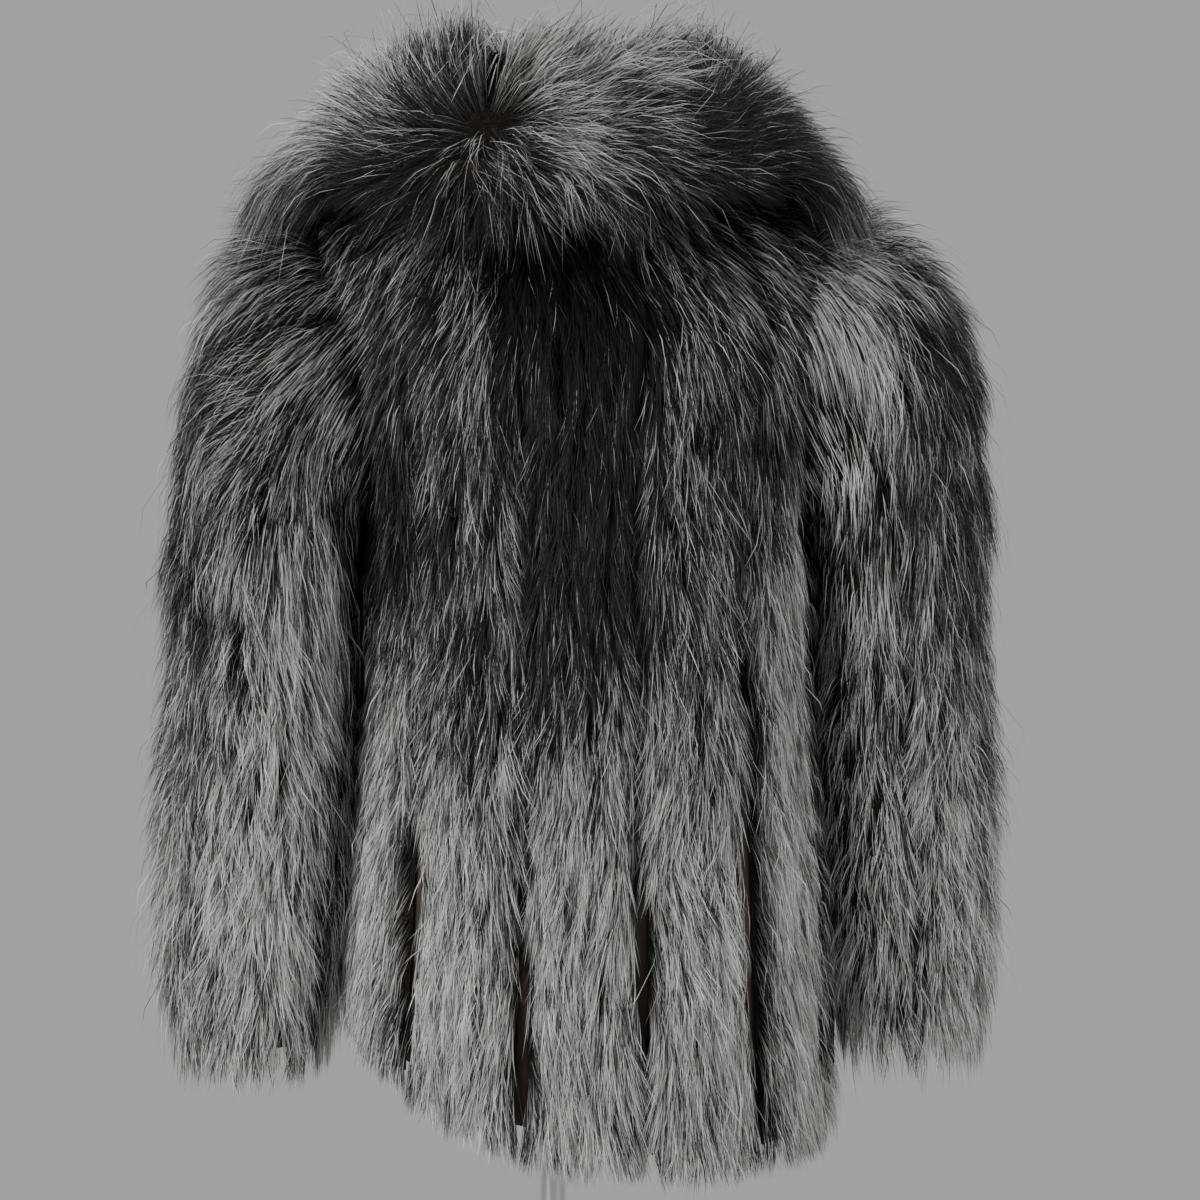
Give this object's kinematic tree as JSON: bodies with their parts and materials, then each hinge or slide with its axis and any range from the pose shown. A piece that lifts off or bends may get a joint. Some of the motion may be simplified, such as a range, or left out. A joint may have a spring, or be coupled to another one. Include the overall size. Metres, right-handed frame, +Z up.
{
  "type": "fur coat on a dress form stand",
  "caption": "Hip-length long-haired fur jacket with vertical fur strips and a wide fur collar, worn by a limbless dress form on a pole and round base.",
  "frame": {"origin": "centre of the base's underside, on the floor, on the pole's axis", "axes": "+Z up along the pole; the wearer faces -Y, so the coat's back is towards +Y; +X is the wearer's left"},
  "size_m": [0.7028, 0.3815, 1.3931],
  "materials": {
    "leather": "matt dark brown suede side of the pelt",
    "fur": "long silver-grey fox fur, dark underneath, with pale banded guard hairs",
    "form_cover": "plain stretch cover, matt",
    "chrome": "polished chrome plate"
  },
  "bodies": {
    "root": {"skin_back": "leather", "skin_side_left": "leather", "skin_side_right": "leather", "skin_front_left": "leather", "skin_front_right": "leather", "skin_sleeve_left": "leather", "skin_sleeve_right": "leather", "skin_collar_stand": "leather", "skin_collar_fall": "leather", "fur_back_1": "fur", "fur_back_2": "fur", "fur_back_3": "fur", "fur_back_4": "fur", "fur_back_5": "fur", "fur_side_left": "fur", "fur_side_right": "fur", "fur_front_left_1": "fur", "fur_front_left_2": "fur", "fur_front_right_1": "fur", "fur_front_right_2": "fur", "fur_sleeve_left_1": "fur", "fur_sleeve_left_2": "fur", "fur_sleeve_left_3": "fur", "fur_sleeve_left_4": "fur", "fur_sleeve_right_1": "fur", "fur_sleeve_right_2": "fur", "fur_sleeve_right_3": "fur", "fur_sleeve_right_4": "fur", "fur_collar_inner": "fur", "fur_collar_outer": "fur", "dress_form": "form_cover", "stand_pole": "chrome", "stand_base": "chrome"}
  },
  "joints": []
}
